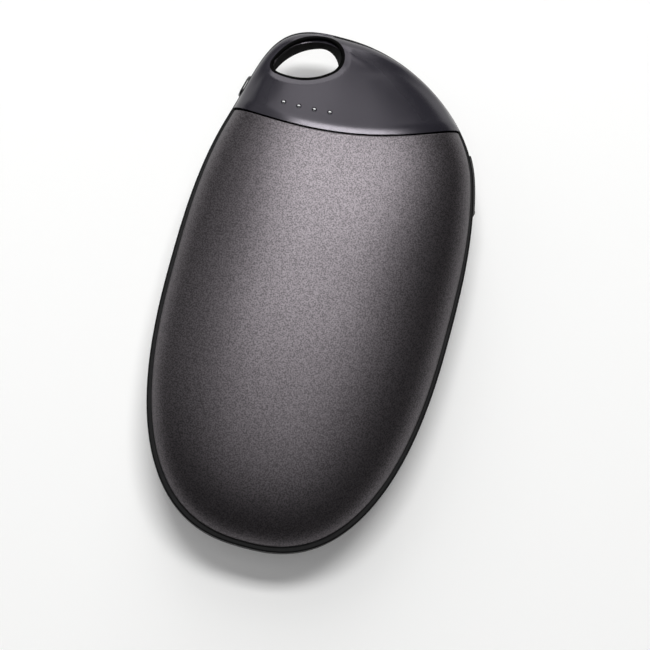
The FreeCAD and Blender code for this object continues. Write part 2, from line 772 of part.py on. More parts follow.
def make_frame():
    """Band between the shells, with the shelf for the board and the web round the eye."""
    disc = feature("band_disc", raised(outline_wire(0.0, middle - band_half), size["band_height"]))
    soft = rounded("band_soft", disc, size["band_edge_radius"],
                   lambda edge: edge.BoundBox.ZLength < 1e-3)
    tall = size["band_height"] + 2 * size["rabbet_height"]
    step = feature("rabbet_disc", raised(outline_wire(size["rabbet_inset"], middle - tall / 2), tall))
    head = seam_zone("rabbet_seam", "Sizes.tongue_reach + 2 * Sizes.tongue_clearance")
    rabbet = cut("rabbet", step, head)
    shelf_start = seam_low + size["shelf_from_seam"]
    plate = feature("shelf_disc", raised(outline_wire(size["shelf_inset"], shelf_bottom),
                                         middle - shelf_bottom))
    below = block("shelf_limit", "%r" % (2 * far), "%r" % far, "%r" % (2 * far),
                  at(-far, shelf_start - far, -far))
    deep = size["cap_wall"] + 2 * size["tongue_clearance"]
    trim = form("shelf_trim", deep, deep, REAR)
    shelf = common("shelf", cut("shelf_cut", plate, below), trim)
    filled = fuse("frame_filled", soft, rabbet, shelf)
    hollow = feature("frame_hollow", raised(outline_wire(size["band_wall"], -far), 2 * far))
    floor = block("shelf_floor", "%r" % (2 * far), "%r" % far, "%r" % far,
                  at(-far, shelf_start, shelf_top - far))
    ring = cut("frame_ring", filled, cut("frame_room", hollow, floor))
    web = feature("eye_web_outer", raised(eye_wire(size["eye_wall"], middle - band_half),
                                          size["band_height"]))
    web_trim = feature("eye_web_trim", raised(outline_wire(size["band_wall"] / 2, -far), 2 * far))
    pieces = [ring, common("eye_web", web, web_trim)]
    for index, spot in enumerate(ear_spots()):
        inward = size["ear_reach"] if spot.z > 0 else size["band_wall"] / 2 + size["ear_reach"]
        pieces.append(block("ear_lug_%d" % index, "2 * Sizes.ear_reach + Sizes.band_wall / 2",
                            "Sizes.ear_width", "Sizes.lug_thickness",
                            at(spot.x - inward, spot.y - size["ear_width"] / 2,
                               middle - band_half)))
    solid = fuse("frame_solid", *pieces)
    tube_room = eye_wire(size["eye_wall"] + size["board_gap"], middle - band_half - far)
    holes = [feature("frame_eye", raised(eye_wire(0.0, -far), 2 * far)),
             feature("frame_tube_room", raised(tube_room, far))]
    holes += button_openings() + port_openings()
    for index, spot in enumerate(case_screw_spots()):
        holes.append(rod("shelf_hole_%d" % index,
                         "Sizes.screw_radius + Sizes.screw_hole_clearance", "%r" % middle,
                         at(spot.x, spot.y, 0)))
    for index, spot in enumerate(ear_spots()):
        holes.append(rod("lug_hole_%d" % index,
                         "Sizes.screw_radius + Sizes.screw_thread_clearance", "%r" % middle,
                         at(spot.x, spot.y, 0)))
    keep(cut("frame_body", solid, *holes), "mid_frame")


def button_openings():
    clear = "2 * Sizes.button_clearance"
    mouth = pill("button_mouth", "Sizes.button_length + " + clear,
                 "Sizes.button_height + " + clear,
                 "Sizes.button_wall + 2 * Sizes.button_proud", button_frame,
                 x=-size["button_wall"])
    wide = size["button_length"] + 2 * (size["button_flange_end"] + size["button_clearance"])
    tall = size["button_height"] + 2 * (size["button_flange_rim"] + size["button_clearance"])
    room_depth = size["band_wall"] - size["button_wall"] + size["board_gap"]
    room = block("button_room", "%r" % room_depth,
                 "Sizes.button_length + 2 * Sizes.button_flange_end + " + clear,
                 "Sizes.button_height + 2 * Sizes.button_flange_rim + " + clear,
                 button_frame * at(-size["button_wall"] - room_depth, -wide / 2, -tall / 2))
    return [mouth, room]


def port_openings():
    """Recess for the cover, the hinge's pocket and pin holes, and the socket's window."""
    tall = size["cover_height"] + 2 * size["cover_gap"]
    strip = cut("recess_strip",
                feature("recess_outer", raised(outline_wire(-2 * size["cover_proud"], middle - tall / 2),
                                               tall)),
                feature("recess_inner", raised(outline_wire(size["cover_depth"] + size["cover_gap"],
                                                            -far), 2 * far)))
    reach = size["cover_length"] / 2 + size["cover_gap"]
    limit = block("recess_limit", "2 * Sizes.band_wall", "%r" % (reach - hinge_y),
                  "2 * Sizes.band_height",
                  port_frame * at(-size["band_wall"], hinge_y, -size["band_height"]))
    pocket = rod("hinge_pocket", "%r" % hinge_swing, "%r" % tall,
                 port_frame * at(hinge_x, hinge_y, -tall / 2))
    pin_tall = tall + 2 * size["hinge_pin_grip"]
    pin_hole = rod("hinge_pin_hole", "Sizes.hinge_pin_radius + Sizes.hinge_pin_clearance",
                   "%r" % pin_tall, port_frame * at(hinge_x, hinge_y, -pin_tall / 2))
    window = pill("socket_window", "Sizes.socket_width + 2 * Sizes.socket_clearance",
                  "Sizes.socket_height + 2 * Sizes.socket_clearance", "2 * Sizes.band_wall",
                  port_frame, x=-2 * size["band_wall"] - size["cover_depth"],
                  y=size["socket_shift"])
    return [common("recess", strip, limit), pocket, pin_hole, window]


def make_button():
    depth = "Sizes.button_proud + Sizes.button_wall + Sizes.switch_gap"
    cap = pill("button_cap", "Sizes.button_length", "Sizes.button_height", depth, button_frame,
               x=flange_face)

    def outer_edge(edge):
        inverse = button_frame.inverse()
        return all(abs(inverse.multVec(corner.Point).x - size["button_proud"]) < 1e-3
                   for corner in edge.Vertexes)

    soft = rounded("button_soft", cap, size["button_edge_radius"], outer_edge)
    wide = size["button_length"] + 2 * size["button_flange_end"]
    tall = size["button_height"] + 2 * size["button_flange_rim"]
    flange = block("button_flange", "Sizes.button_flange_thickness",
                   "Sizes.button_length + 2 * Sizes.button_flange_end",
                   "Sizes.button_height + 2 * Sizes.button_flange_rim",
                   button_frame * at(flange_face - size["button_flange_thickness"], -wide / 2,
                                     -tall / 2))
    stem = rod("button_stem", "Sizes.button_stem_radius",
               "Sizes.button_stem_length + Sizes.button_flange_thickness",
               along_x(button_frame, stem_end, 0, 0))
    keep(fuse("button_body", soft, flange, stem), "power_button")


def make_switch():
    inside = size["plunger_length"] - size["plunger_reach"]
    box = block("switch_box", "Sizes.switch_depth", "Sizes.switch_width", "Sizes.socket_height",
                button_frame * at(switch_face - size["switch_depth"], -size["switch_width"] / 2,
                                  -size["socket_height"] / 2))
    well_depth = inside + size["button_travel"] + size["switch_gap"]
    well = rod("switch_well", "Sizes.plunger_radius + Sizes.plunger_clearance", "%r" % well_depth,
               along_x(button_frame, switch_face - well_depth, 0, 0))
    keep(cut("switch_body_cut", box, well), "switch_body")
    keep(rod("switch_plunger_rod", "Sizes.plunger_radius", "Sizes.plunger_length",
             along_x(button_frame, plunger_face - size["plunger_length"], 0, 0)), "switch_plunger")


def make_cover():
    """Rubber flap that follows the flank, with its hinge knuckle and the plug behind it."""
    tall = size["cover_height"]
    strip = cut("cover_strip",
                feature("cover_outer", raised(outline_wire(-size["cover_proud"], middle - tall / 2),
                                              tall)),
                feature("cover_inner", raised(outline_wire(size["cover_depth"], -far), 2 * far)))
    limit = block("cover_limit", "2 * Sizes.band_wall", "Sizes.cover_length / 2 - (%r)" % hinge_y,
                  "2 * Sizes.band_height",
                  port_frame * at(-size["band_wall"], hinge_y, -size["band_height"]))
    flap = common("cover_flap", strip, limit)
    inverse = port_frame.inverse()

    def free_corner(edge):
        ends = [inverse.multVec(corner.Point) for corner in edge.Vertexes]
        at_end = all(abs(end.y - size["cover_length"] / 2) < 1e-3 for end in ends)
        return at_end and edge.BoundBox.ZLength < 1e-3

    soft = rounded("cover_soft", flap, size["cover_corner_radius"], free_corner)
    knuckle = rod("cover_knuckle", "Sizes.hinge_knuckle_radius", "Sizes.cover_height",
                  port_frame * at(hinge_x, hinge_y, -tall / 2))
    inset = "2 * Sizes.socket_wall + 2 * Sizes.plug_clearance"
    plug_reach = size["socket_setback"] + size["cover_gap"] + size["plug_depth"]
    plug = pill("cover_plug", "Sizes.socket_width - (%s)" % inset,
                "Sizes.socket_height - (%s)" % inset, "%r" % (plug_reach + size["cover_depth"] / 2),
                port_frame, x=-size["cover_depth"] - plug_reach, y=size["socket_shift"])
    solid = fuse("cover_solid", soft, knuckle, plug)
    bore = rod("cover_bore", "Sizes.hinge_pin_radius + Sizes.hinge_running_clearance",
               "2 * Sizes.band_height", port_frame * at(hinge_x, hinge_y, -size["band_height"]))
    keep(cut("cover_body", solid, bore), "port_cover")
    pin_tall = tall + 2 * (size["cover_gap"] + size["hinge_pin_grip"])
    keep(rod("hinge_pin", "Sizes.hinge_pin_radius", "%r" % pin_tall,
             port_frame * at(hinge_x, hinge_y, -pin_tall / 2)), "cover_hinge_pin")


def make_socket():
    """Charging socket: a drawn steel shell, the moulded tongue in it and its contacts."""
    shift = size["socket_shift"]
    back = socket_mouth - size["socket_depth"]
    outer = pill("socket_outer", "Sizes.socket_width", "Sizes.socket_height", "Sizes.socket_depth",
                 port_frame, x=back, y=shift)
    wall = "2 * Sizes.socket_wall"
    inner = pill("socket_inner", "Sizes.socket_width - " + wall, "Sizes.socket_height - " + wall,
                 "Sizes.socket_depth", port_frame, x=back + size["socket_wall"], y=shift)
    keep(cut("socket_shell_cut", outer, inner), "socket_shell")
    slack = "2 * Sizes.socket_wall + 2 * Sizes.plunger_clearance"
    base = pill("socket_base", "Sizes.socket_width - (%s)" % slack,
                "Sizes.socket_height - (%s)" % slack, "Sizes.socket_back_depth", port_frame,
                x=back + size["socket_wall"], y=shift)
    blade_length = size["socket_depth"] - size["socket_wall"] - size["tongue_setback"]
    blade = block("socket_blade", "%r" % blade_length, "Sizes.tongue_width",
                  "Sizes.tongue_thickness",
                  port_frame * at(back + size["socket_wall"], shift - size["tongue_width"] / 2,
                                  -size["tongue_thickness"] / 2))
    keep(fuse("socket_tongue_body", base, blade), "socket_tongue")
    contacts = []
    count = int(size["contact_count"])
    contact_start = back + size["socket_wall"] + size["socket_back_depth"]
    contact_length = blade_length - size["socket_back_depth"] - size["contact_width"]
    for face in (FRONT, REAR):
        lift = size["tongue_thickness"] / 2 if face == FRONT else (
            -size["tongue_thickness"] / 2 - size["contact_thickness"])
        for index in range(count):
            y = shift + (index - (count - 1) / 2) * size["contact_pitch"]
            contacts.append(block("contact_%s_%d" % (face_name(face), index), "%r" % contact_length,
                                  "Sizes.contact_width", "Sizes.contact_thickness",
                                  port_frame * at(contact_start, y - size["contact_width"] / 2,
                                                  lift)))
    keep(group("contact_set", *contacts), "socket_contacts")


def make_board():
    sheet_of_board = feature("board_sheet", raised(
        outline_wire(size["band_wall"] + size["board_gap"], board_bottom), size["board_thickness"]))
    below = block("board_limit", "%r" % (2 * far), "%r" % far, "%r" % (2 * far),
                  at(-far, cell_top + size["board_from_cells"] - far, -far))
    eye_room = feature("board_eye_room", raised(
        eye_wire(size["eye_wall"] + size["board_gap"], -far), 2 * far))
    holes = [rod("board_hole_%d" % index, "Sizes.screw_radius + Sizes.screw_hole_clearance",
                 "%r" % far, at(spot.x, spot.y, 0))
             for index, spot in enumerate(case_screw_spots())]
    keep(cut("board_body", sheet_of_board, below, eye_room, *holes), "main_board")


def board_block(name, length, width, height, x, y):
    """Block on the board, centred on a plan place."""
    long_side = float(sheet.evalExpression(length))
    wide_side = float(sheet.evalExpression(width))
    return block(name, length, width, height, at(x - long_side / 2, y - wide_side / 2, board_top))


def make_electronics():
    left, right = case_screw_spots()
    lead_y = cell_top + size["lead_row"]
    row_y = lead_y + size["lead_radius"] + size["board_gap"] + size["chip_side"] / 2
    chip_height = "Sizes.chip_height"
    chips = [
        board_block("charge_chip", "Sizes.chip_side", "Sizes.chip_side", chip_height,
                    left.x + size["chip_step"], row_y),
        board_block("boost_chip", "Sizes.chip_side", "Sizes.chip_side", chip_height,
                    left.x + 2 * size["chip_step"] + size["chip_side"], row_y),
        board_block("logic_chip", "1.5 * Sizes.chip_side", "Sizes.chip_side", chip_height,
                    left.x + size["chip_step"] + size["chip_side"], left.y),
    ]
    keep(group("chip_set", *chips), "controller_chips")
    coil = board_block("coil_block", "Sizes.inductor_side", "Sizes.inductor_side",
                       "Sizes.inductor_height", right.x - size["inductor_shift"],
                       right.y - size["post_radius"] - size["inductor_side"] / 2
                       - size["board_gap"])
    keep(rounded("coil_soft", coil, size["inductor_corner_radius"],
                 lambda edge: edge.BoundBox.ZLength > 1), "boost_inductor")
    count = int(size["capacitor_count"])
    capacitor_y = (cell_top + size["board_from_cells"] + size["board_gap"]
                   + size["capacitor_length"] / 2)
    capacitors = [board_block("capacitor_%d" % index, "Sizes.capacitor_width",
                              "Sizes.capacitor_length", "Sizes.capacitor_width",
                              left.x + size["chip_step"] + index * size["capacitor_pitch"], capacitor_y)
                  for index in range(count)]
    keep(group("capacitor_set", *capacitors), "capacitors")


def make_lights():
    spots = lamp_spots()
    lamps = [board_block("lamp_%d" % index, "2 * Sizes.light_pin_radius",
                         "2 * Sizes.light_pin_radius", "Sizes.lamp_height", spot.x, spot.y)
             for index, spot in enumerate(spots)]
    keep(group("lamp_set", *lamps), "indicator_lamps")
    foot = board_top + size["lamp_height"] + size["lamp_gap"]
    pins = [rod("light_pin_%d" % index, "Sizes.light_pin_radius", "%r" % far,
                at(spot.x, spot.y, foot)) for index, spot in enumerate(spots)]
    radius = size["seam_radius"] - size["lamp_from_seam"]
    bar_z = board_top + size["light_bar_lift"]
    wide = rod("light_bar_far", "%r + Sizes.light_bar_width / 2" % radius,
               "Sizes.light_bar_height", at(seam_centre.x, seam_centre.y, bar_z))
    narrow = rod("light_bar_near", "%r - Sizes.light_bar_width / 2" % radius, "%r" % far,
                 at(seam_centre.x, seam_centre.y, 0))
    span = spots[-1].x - spots[0].x + size["light_bar_width"]
    limit = block("light_bar_limit", "%r" % span, "%r" % far, "%r" % far,
                  at(spots[0].x - size["light_bar_width"] / 2, 0, 0))
    bar = common("light_bar", cut("light_bar_arc", wide, narrow), limit)
    tall = fuse("light_guide_tall", bar, *pins)
    trim = feature("light_guide_trim", form_solid(0.0, 0.0, FRONT).fuse(
        form_solid(0.0, 0.0, REAR)))
    keep(common("light_guide_body", tall, trim), "light_guide")


def turned_body(name, corners, place):
    """Body turned about its own Y axis from a profile of radius and height expressions."""
    body = document.addObject("PartDesign::Body", name)
    sketch = body.newObject("Sketcher::SketchObject", name + "_profile")
    plane = [item for item in body.Origin.OriginFeatures if item.Role == "XY_Plane"][0]
    sketch.AttachmentSupport = [(plane, "")]
    sketch.MapMode = "FlatFace"
    spots = [Vector(float(sheet.evalExpression(x)), float(sheet.evalExpression(y)), 0)
             for x, y in corners]
    count = len(spots)
    for index in range(count):
        sketch.addGeometry(Part.LineSegment(spots[index], spots[(index + 1) % count]))
    for index in range(count):
        sketch.addConstraint(Sketcher.Constraint("Coincident", index, 2, (index + 1) % count, 1))
    for index, texts in enumerate(corners):
        for kind, axis, text, value in zip(("DistanceX", "DistanceY"), (-2, -1), texts,
                                           (spots[index].x, spots[index].y)):
            if text == "0":
                sketch.addConstraint(Sketcher.Constraint("PointOnObject", index, 1, axis))
                continue
            number = sketch.addConstraint(Sketcher.Constraint(kind, -1, 1, index, 1, value))
            sketch.setExpression("Constraints[%d]" % number, text)
    turned = body.newObject("PartDesign::Revolution", name + "_turned")
    turned.Profile = sketch
    turned.ReferenceAxis = (sketch, ["V_Axis"])
    turned.Angle = 360
    body.Placement = place
    return body


def make_cells():
    radius = "Sizes.cell_diameter / 2 - Sizes.sleeve_thickness - Sizes.sleeve_clearance"
    shoulder = "Sizes.cell_length - Sizes.cell_button_height"
    rim = "Sizes.cell_rim_width"
    groove = "%s - Sizes.cell_groove_place" % shoulder
    can = [
        ("0", "0"),
        (radius, "0"),
        (radius, groove),
        (radius + " - Sizes.cell_groove_depth", groove + " + Sizes.cell_groove_depth"),
        (radius, groove + " + 2 * Sizes.cell_groove_depth"),
        (radius, shoulder),
        (radius + " - " + rim, shoulder),
        (radius + " - " + rim, shoulder + " - Sizes.cell_groove_depth"),
        ("Sizes.cell_button_radius", shoulder + " - Sizes.cell_groove_depth"),
        ("Sizes.cell_button_radius", "Sizes.cell_length"),
        ("0", "Sizes.cell_length"),
    ]
    inside = "Sizes.cell_diameter / 2 - Sizes.sleeve_thickness"
    lip = inside + " - Sizes.sleeve_lip"
    low = "-Sizes.sleeve_clearance - Sizes.sleeve_thickness"
    high = shoulder + " + Sizes.sleeve_clearance"
    sleeve = [
        ("Sizes.cell_diameter / 2", low),
        ("Sizes.cell_diameter / 2", high + " + Sizes.sleeve_thickness"),
        (lip, high + " + Sizes.sleeve_thickness"),
        (lip, high),
        (inside, high),
        (inside, "-Sizes.sleeve_clearance"),
        (lip, "-Sizes.sleeve_clearance"),
        (lip, low),
    ]
    offset = (size["cell_diameter"] + size["cell_gap"]) / 2
    sleeves = []
    for label, side in (("left", -1), ("right", 1)):
        place = at(side * offset, cell_foot, middle)
        keep(turned_body(label + "_cell_body", can, place), "cell_" + label)
        sleeves.append(turned_body(label + "_sleeve_body", sleeve, place))
    keep(group("sleeve_set", *sleeves), "cell_sleeves")
    span = "Sizes.cell_diameter + Sizes.cell_gap + 2 * Sizes.link_overhang"
    start = -offset - size["link_overhang"]
    low_z = middle - size["link_width"] / 2
    keep(block("top_strip", span, "Sizes.link_thickness", "Sizes.link_width",
               at(start, cell_top, low_z)), "positive_link")
    foot_y = cell_foot - size["sleeve_thickness"] - size["sleeve_clearance"] - size["link_thickness"]
    keep(block("foot_strip", span, "Sizes.link_thickness", "Sizes.link_width",
               at(start, foot_y, low_z)), "negative_link")


def make_cradle():
    """Saddle behind the cells, hung from the band by four screwed ears."""
    offset = (size["cell_diameter"] + size["cell_gap"]) / 2
    reach = offset + size["cell_diameter"] / 2 + size["cradle_gap"] + size["cradle_side"]
    top = middle - band_half - size["ear_gap"]
    low = middle - size["cell_diameter"] / 2 - size["cradle_gap"] - size["cradle_floor"]
    start = cell_foot + size["cradle_end_gap"]
    trough = block("cradle_block", "%r" % (2 * reach), "Sizes.cell_length - 2 * Sizes.cradle_end_gap",
                   "%r" % (top - low), at(-reach, start, low))
    deep = (size["shell_wall"] + size["film_gap"] + size["film_thickness"]
            + size["cradle_film_gap"])
    trim = form("cradle_trim", size["band_lip"] + deep, deep, REAR)
    saddle = common("cradle_saddle", trough, trim)
    ears = []
    for index, spot in enumerate(ear_spots()):
        length = abs(spot.x) + size["screw_head_radius"] + size["board_gap"] - reach + size["cradle_side"]
        begin = reach - size["cradle_side"] if spot.z > 0 else -reach + size["cradle_side"] - length
        ears.append(block("cradle_ear_%d" % index, "%r" % length, "Sizes.ear_width",
                          "Sizes.ear_thickness", at(begin, spot.y - size["ear_width"] / 2,
                                                    top - size["ear_thickness"])))
    solid = fuse("cradle_solid", saddle, *ears)
    troughs = [rod("cradle_trough_%d" % index, "Sizes.cell_diameter / 2 + Sizes.cradle_gap",
                   "%r" % far, FreeCAD.Placement(Vector(side * offset, far / 2, middle),
                                                 FreeCAD.Rotation(X_AXIS, 90)))
               for index, side in enumerate((-1, 1))]
    holes = [rod("ear_hole_%d" % index, "Sizes.screw_radius + Sizes.screw_hole_clearance",
                 "%r" % middle, at(spot.x, spot.y, 0))
             for index, spot in enumerate(ear_spots())]
    keep(cut("cradle_body", solid, *troughs, *holes), "cell_cradle")
    seat = top - size["ear_thickness"]
    length = middle - band_half + size["lug_thickness"] - seat
    screws = [make_screw("cradle_screw_%d" % index, seat, length, Vector(spot.x, spot.y, 0))
              for index, spot in enumerate(ear_spots())]
    keep(group("cradle_screw_set", *screws), "cradle_screws")


film_plan = size["band_lip"] + size["shell_wall"] + size["film_gap"]
film_crown = size["shell_wall"] + size["film_gap"]
film_end = cell_top - size["film_end_gap"]


def film_inside(x, y):
    """Height of a heater film's inner face over the middle plane."""
    return form_height(x, y, film_plan + size["film_thickness"],
                       film_crown + size["film_thickness"])


def make_heaters():
    for face in (FRONT, REAR):
        side = face_name(face)
        outer = form(side + "_film_form", film_plan, film_crown, face)
        inner = form(side + "_film_room", film_plan + size["film_thickness"],
                     film_crown + size["film_thickness"], face)
        zone = feature(side + "_film_zone", raised(outline_wire(size["film_margin"], -far), 2 * far))
        above = block(side + "_film_limit", "%r" % (2 * far), "%r" % far, "%r" % (2 * far),
                      at(-far, film_end, -far))
        pad = common(side + "_film_pad", outer, cut(side + "_film_area", zone, above))
        keep(cut(side + "_film_body", pad, inner), side + "_heater_film")


def make_leads():
    """Short leads inside the case, from the cells, films and sensors to the board."""
    radius = size["lead_radius"]
    bend = 2 * radius
    clear = size["sensor_gap"]
    row = cell_top + size["lead_row"]
    link_face = cell_top + size["link_thickness"] + radius + clear
    high = middle + size["lead_height"]
    x = size["positive_lead_x"]
    keep(feature("positive_tube", lead([
        Vector(x, link_face, middle - size["link_width"] / 2),
        Vector(x, link_face, high),
        Vector(x, row, high),
        Vector(x, row, board_top + clear)], radius, bend)), "positive_lead")
    foot = (cell_foot - size["sleeve_thickness"] - size["sleeve_clearance"]
            - size["link_thickness"] - radius - clear)
    keep(feature("negative_tube", lead([
        Vector(0, foot, middle),
        Vector(0, foot, high),
        Vector(0, row, high),
        Vector(0, row, board_top + clear)], radius, bend)), "negative_lead")
    thin = size["heater_lead_radius"]
    pad_y = film_end - size["film_end_gap"]
    for face, label in ((FRONT, "front"), (REAR, "rear")):
        tubes = []
        end = board_top + clear if face == FRONT else board_bottom - clear
        for side in (-1, 1):
            x = -face * size["heater_lead_x"] + side * size["heater_lead_pitch"] / 2
            lift = film_inside(x, pad_y) - thin - clear
            tubes.append(lead([
                Vector(x, pad_y, middle + face * lift),
                Vector(x, row, middle + face * (lift - size["heater_lead_fall"])),
                Vector(x, row, end)], thin, 2 * thin))
        keep(feature(label + "_heater_tubes", Part.makeCompound(tubes)), label + "_heater_leads")


def make_sensors():
    """Temperature sensor beads stuck to the films, each with its twin lead."""
    thin = size["sensor_lead_radius"]
    row = cell_top + size["lead_row"]
    for face, label in ((FRONT, "front"), (REAR, "rear")):
        x = size[label + "_sensor_x"]
        y = cell_top - size["sensor_from_cells"]
        drop = size["sensor_gap"] + size["sensor_radius"]
        z = middle + face * (film_inside(x, y) - drop)
        bead = rod(label + "_bead", "Sizes.sensor_radius", "Sizes.sensor_length",
                   FreeCAD.Placement(Vector(x, y + size["sensor_length"], z),
                                     FreeCAD.Rotation(X_AXIS, 90)))
        end_x = x - math.copysign(size["sensor_lead_shift"], x)
        dip = middle + face * (film_inside(x, y) - size["sensor_lead_fall"])
        end = board_top + size["sensor_gap"] if face == FRONT else board_bottom - size["sensor_gap"]
        tail = feature(label + "_sensor_tail", lead([
            Vector(x, y + size["sensor_length"] / 2, z),
            Vector(x, y + 2 * size["sensor_length"], z),
            Vector(end_x, row, dip),
            Vector(end_x, row, end)], thin, 2 * thin))
        keep(fuse(label + "_sensor_body", bead, tail), label + "_thermistor")


for face in (FRONT, REAR):
    make_shell(face)
    make_gasket(face)
    make_cap(face)
make_frame()
make_case_screws()
make_button()
make_switch()
make_cover()
make_socket()
make_board()
make_electronics()
make_lights()
make_cells()
make_cradle()
make_heaters()
make_leads()
make_sensors()

document.recompute()
for item in document.Objects:
    if "Invalid" in item.State or "Error" in item.State:
        raise RuntimeError("%s failed: %s" % (item.Name, item.State))
for item in parts:
    if item.Shape.isNull() or not item.Shape.isValid():
        raise RuntimeError("%s has no valid shape" % item.Label)
os.makedirs("parts", exist_ok=True)
for item in parts:
    item.Shape.exportStep("parts/%s.step" % item.Label)
    print(item.Label, len(item.Shape.Solids), round(item.Shape.Volume, 2))
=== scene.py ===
import math
import bmesh
import bpy
from mathutils import Matrix, Vector


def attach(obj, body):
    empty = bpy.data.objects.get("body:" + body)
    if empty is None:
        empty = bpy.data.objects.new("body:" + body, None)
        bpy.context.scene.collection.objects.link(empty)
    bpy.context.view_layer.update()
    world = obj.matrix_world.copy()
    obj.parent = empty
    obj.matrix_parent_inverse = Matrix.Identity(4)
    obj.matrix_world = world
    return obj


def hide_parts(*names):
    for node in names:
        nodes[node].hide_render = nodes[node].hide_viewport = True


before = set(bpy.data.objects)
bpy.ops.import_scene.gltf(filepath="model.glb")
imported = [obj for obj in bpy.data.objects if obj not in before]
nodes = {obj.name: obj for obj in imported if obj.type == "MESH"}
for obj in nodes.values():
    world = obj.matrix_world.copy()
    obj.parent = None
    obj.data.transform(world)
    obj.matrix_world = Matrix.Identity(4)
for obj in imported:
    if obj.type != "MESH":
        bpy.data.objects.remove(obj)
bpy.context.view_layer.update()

MM = 0.001

# The pebble's form, shared with the solids. Shapes are worked out in millimetres.
MIDDLE = 13.35
HALF_WIDTH = 31.0
HALF_LENGTH = 56.0
HALF_THICKNESS = 13.65
OUTLINE_POWER = 2.5
SECTION_POWER = 2.3
HEAD_SECTION_POWER = 3.0
HEAD_LEAN = 8.0
LEAN_START = 32.5

# The seam between shell and head is an arc. The head's base is a height over the middle plane.
SEAM_CENTRE = Vector((-12.5, 99.9))
SEAM_RADIUS = 67.0
SEAM_GAP = 0.3
CAP_SEAM_RADIUS = SEAM_RADIUS - SEAM_GAP / 2
CAP_BASE = 2.9

# The lanyard eye: two round ends joined by wider arcs. Its heart is where the head's rays start.
EYE_WIDE = Vector((-11.2, 49.95))
EYE_WIDE_RADIUS = 4.2
EYE_NARROW = Vector((-18.861, 46.05))
EYE_NARROW_RADIUS = 2.0
EYE_SIDE_RADIUS = 12.0
EYE_HEART = Vector((-14.0, 48.75))

# The light windows in the head stand in a row that follows the seam.
LAMP_COUNT = 4
LAMP_PITCH = 3.37
LAMP_FROM_SEAM = 4.2
LAMP_ROW_SHIFT = 1.2
WINDOW_RADIUS = 0.55
WINDOW_SEGMENTS = 32


def linear(hex_colour):
    """Linear RGBA of an sRGB hex colour."""
    channels = []
    for start in (1, 3, 5):
        value = int(hex_colour[start:start + 2], 16) / 255
        if value <= 0.04045:
            channels.append(value / 12.92)
        else:
            channels.append(((value + 0.055) / 1.055) ** 2.4)
    return (*channels, 1.0)


def per_mm(size_mm):
    """Texture scale for a pattern whose repeat is this many millimetres."""
    return 1.0 / (size_mm * MM)


def new_material(name):
    """An empty node material."""
    material = bpy.data.materials.new(name)
    material.use_nodes = True
    material.node_tree.nodes.clear()
    return material


def add(material, kind, settings=None, **links):
    """Add a node; settings go to properties or sockets, links join sockets to other nodes' outputs."""
    node = material.node_tree.nodes.new(kind)
    for key, value in (settings or {}).items():
        if key in node.inputs:
            node.inputs[key].default_value = value
        else:
            setattr(node, key, value)
    for key, source in links.items():
        name = key.replace("_", " ")
        socket = next(s for s in node.inputs if s.name == name and not s.is_linked)
        material.node_tree.links.new(source, socket)
    return node


def dress(material, *names):
    """Give carried-over solids a material."""
    for name in names:
        slots = nodes[name].data.materials
        slots.clear()
        slots.append(material)


def blasted_anodised_aluminium():
    """Bead-blasted, dyed and sealed: a broad satin sheen broken by fine grain, whose glints are painted
    into the colour.
    """
    material = new_material("blasted_anodised_aluminium")
    place = add(material, "ShaderNodeTexCoord").outputs["Object"]
    # The blasted pits are finer than a pixel, so their glints are painted into the colour as light and
    # dark specks about 0.3 mm wide.
    # The turn keeps the pattern's layers from lying along the shell's flat crown.
    turned = add(material, "ShaderNodeMapping", {"Rotation": (0.6, 0.4, 0.2)}, Vector=place)
    glint_pits = add(material, "ShaderNodeTexNoise",
               {"Scale": per_mm(0.29), "Detail": 0.0}, Vector=turned.outputs["Vector"])
    painted_glint = add(material, "ShaderNodeMapRange",
                {"From Min": 0.3, "From Max": 0.7, "To Min": 0.66, "To Max": 1.34},
                Value=glint_pits.outputs["Fac"])
    grain = add(material, "ShaderNodeTexNoise",
                {"Scale": per_mm(0.25), "Detail": 1.0, "Roughness": 0.5}, Vector=place)
    dye = add(material, "ShaderNodeTexNoise",
              {"Scale": per_mm(30.0), "Detail": 2.0, "Roughness": 0.5}, Vector=place)
    tone = add(material, "ShaderNodeValToRGB", Fac=dye.outputs["Fac"])
    tone.color_ramp.elements[0].position = 0.3
    tone.color_ramp.elements[0].color = linear("#585457")
    tone.color_ramp.elements[1].position = 0.7
    tone.color_ramp.elements[1].color = linear("#5c585b")
    # A Mix node set to colour has its colours at inputs 6 and 7 and its result at output 2.
    colour = add(material, "ShaderNodeMix", {"data_type": "RGBA", "blend_type": "MULTIPLY"})
    colour.inputs["Factor"].default_value = 1.0
    material.node_tree.links.new(tone.outputs["Color"], colour.inputs[6])
    material.node_tree.links.new(painted_glint.outputs["Result"], colour.inputs[7])
    rough = add(material, "ShaderNodeMapRange",
                {"From Min": 0.25, "From Max": 0.75, "To Min": 0.42, "To Max": 0.5},
                Value=grain.outputs["Fac"])
    relief = add(material, "ShaderNodeBump", {"Strength": 0.25, "Distance": 0.03 * MM},
                 Height=grain.outputs["Fac"])
    shader = add(material, "ShaderNodeBsdfPrincipled", {"Metallic": 1.0},
                 Base_Color=colour.outputs[2], Roughness=rough.outputs["Result"],
                 Normal=relief.outputs["Normal"])
    add(material, "ShaderNodeOutputMaterial", Surface=shader.outputs[0])
    return material


